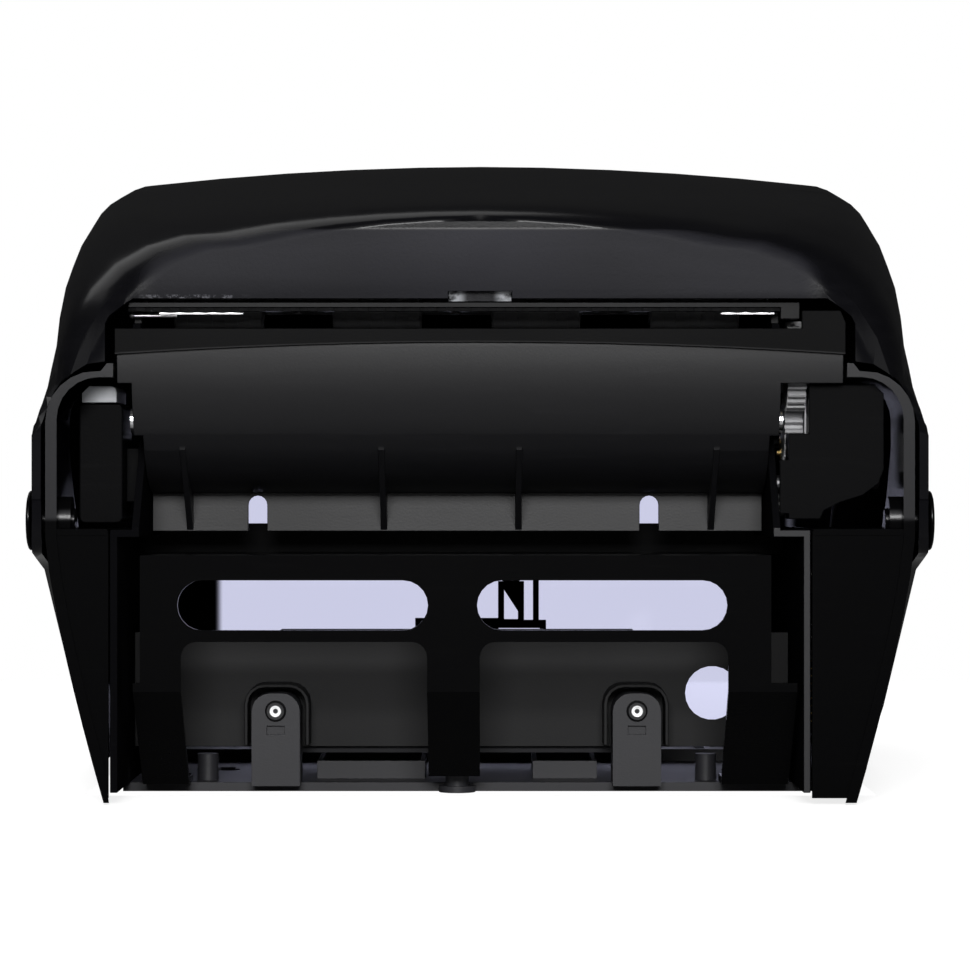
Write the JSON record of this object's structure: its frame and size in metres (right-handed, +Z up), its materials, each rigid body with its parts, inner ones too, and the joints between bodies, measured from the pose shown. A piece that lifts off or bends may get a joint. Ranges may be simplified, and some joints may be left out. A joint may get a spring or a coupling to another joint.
{
  "type": "automatic paper towel dispenser",
  "caption": "Wall-hung hands-free roll towel dispenser: hinged translucent cover, roll arms with hubs, motor-driven feed and pinch rollers, tear bar and battery box.",
  "frame": {"origin": "centre of the rectangle of wall fixing holes, on the wall face of the back plate", "axes": "+Y points out of the back into the wall, +Z up, +X to the right of a user who faces the dispenser"},
  "size_m": [0.2974, 0.2313, 0.367],
  "materials": {
    "board_green": "lacquered circuit board",
    "brass": "turned brass",
    "button_grey": "moulded grey plastic",
    "dark_steel": "dark coated steel",
    "gloss_black": "polished moulded plastic",
    "lens": "dark infrared window",
    "light_white": "white moulded plastic",
    "matte_black": "fine-grained moulded plastic",
    "nylon": "natural nylon",
    "rubber": "soft ribbed rubber",
    "smoke_cover": "smoke translucent moulded plastic, textured underneath",
    "steel": "bright steel"
  },
  "bodies": {
    "frame": {"hinge_pin_left": "gloss_black", "hinge_pin_right": "gloss_black", "left_housing": "gloss_black", "right_housing": "gloss_black", "left_partition": "matte_black", "right_partition": "matte_black", "belly_panel": "matte_black", "slotted_tray": "gloss_black", "back_plate": "matte_black", "floor_panel": "matte_black", "floor_screw_left": "steel", "floor_screw_right": "steel", "feed_frame_left": "matte_black", "feed_frame_right": "matte_black", "shaft_bush_left": "brass", "shaft_bush_right": "brass", "pinch_spring_left": "steel", "pinch_spring_right": "steel", "tie_rod": "steel", "front_rail": "matte_black", "tear_bar": "steel", "sensor_case": "matte_black", "sensor_lens": "lens", "paper_spring_left": "steel", "paper_spring_right": "steel", "gear_plate": "dark_steel", "feed_motor": "dark_steel", "gearbox_case": "matte_black", "power_module": "matte_black", "power_module_cap": "button_grey", "roll_arm_left": "matte_black", "arm_screw": "steel", "arm_pivot_pin": "steel", "arm_spring": "steel", "battery_box": "matte_black", "contact_link": "steel", "contact_negative": "steel", "contact_positive": "steel", "circuit_board": "board_green", "control_box": "matte_black", "latch_plate": "matte_black"},
    "cover": {"cover_shell": "smoke_cover"},
    "lock": {"lock_barrel": "steel", "lock_cam": "dark_steel"},
    "drive": {"drive_shaft": "steel", "drive_sleeve": "rubber", "drive_gear": "nylon"},
    "idler": {"idler_gear": "nylon"},
    "pinion": {"motor_pinion": "brass"},
    "pinch_carriers": {"pinch_carrier_left": "nylon", "pinch_carrier_right": "nylon"},
    "pinch_roller": {"pinch_shaft": "steel", "pinch_sleeve": "matte_black"},
    "transfer": {"transfer_bar": "nylon"},
    "right_arm": {"roll_arm_right": "matte_black"},
    "hub_left": {"roll_hub_left": "gloss_black"},
    "hub_right": {"roll_hub_right": "gloss_black"},
    "battery_door": {"battery_door": "matte_black"},
    "feed_button": {"feed_button": "button_grey"},
    "length_switch": {"length_switch": "light_white"}
  },
  "joints": [
    {"name": "cover_hinge", "type": "hinge", "parent": "frame", "child": "cover", "pos_m": [0, -0.092, -0.1925], "axis": [1, 0, 0], "range_deg": [0, 95]},
    {"name": "lock_turn", "type": "hinge", "parent": "cover", "child": "lock", "pos_m": [0.01235, -0.07, 0.162], "axis": [0, 0, 1], "range_deg": [0, 90]},
    {"name": "drive_spin", "type": "hinge", "parent": "frame", "child": "drive", "pos_m": [0, -0.143, -0.183], "axis": [1, 0, 0], "continuous": true},
    {"name": "idler_spin", "type": "hinge", "parent": "frame", "child": "idler", "pos_m": [0, -0.12208, -0.17092], "axis": [1, 0, 0], "continuous": true},
    {"name": "pinion_spin", "type": "hinge", "parent": "frame", "child": "pinion", "pos_m": [0, -0.11451, -0.15781], "axis": [1, 0, 0], "continuous": true},
    {"name": "pinch_slide", "type": "slide", "parent": "frame", "child": "pinch_carriers", "axis": [0, -1, 0], "range_m": [0, 0.002], "stiffness_N_per_m": 600, "springref_m": -0.003, "deforming": ["pinch_spring_left", "pinch_spring_right"]},
    {"name": "pinch_spin", "type": "hinge", "parent": "pinch_carriers", "child": "pinch_roller", "pos_m": [0, -0.1643, -0.183], "axis": [1, 0, 0], "continuous": true},
    {"name": "transfer_tilt", "type": "hinge", "parent": "frame", "child": "transfer", "pos_m": [0, -0.1345, -0.157], "axis": [-1, 0, 0], "range_deg": [0, 30]},
    {"name": "arm_tilt", "type": "hinge", "parent": "frame", "child": "right_arm", "pos_m": [0.1024, -0.116, -0.135], "axis": [0, 1, 0], "range_deg": [0, 8], "stiffness_Nm_per_rad": 1.5, "springref_deg": -11.46},
    {"name": "hub_left_spin", "type": "hinge", "parent": "frame", "child": "hub_left", "pos_m": [0, -0.116, 0.027], "axis": [1, 0, 0], "continuous": true},
    {"name": "hub_right_spin", "type": "hinge", "parent": "right_arm", "child": "hub_right", "pos_m": [0, -0.116, 0.027], "axis": [1, 0, 0], "continuous": true},
    {"name": "battery_door_hinge", "type": "hinge", "parent": "frame", "child": "battery_door", "pos_m": [0, -0.0509, -0.1398], "axis": [1, 0, 0], "range_deg": [0, 60]},
    {"name": "feed_button_press", "type": "slide", "parent": "frame", "child": "feed_button", "axis": [0, 1, 0], "range_m": [0, 0.002], "stiffness_N_per_m": 100, "springref_m": -0.002},
    {"name": "length_switch_slide", "type": "slide", "parent": "frame", "child": "length_switch", "axis": [1, 0, 0], "range_m": [-0.0035, 0.0035]}
  ],
  "couplings": [
    {"joint": "idler_spin", "follows": "drive_spin", "ratio": -1.4},
    {"joint": "pinion_spin", "follows": "drive_spin", "ratio": 2.8},
    {"joint": "pinch_spin", "follows": "drive_spin", "ratio": -1.3333}
  ]
}
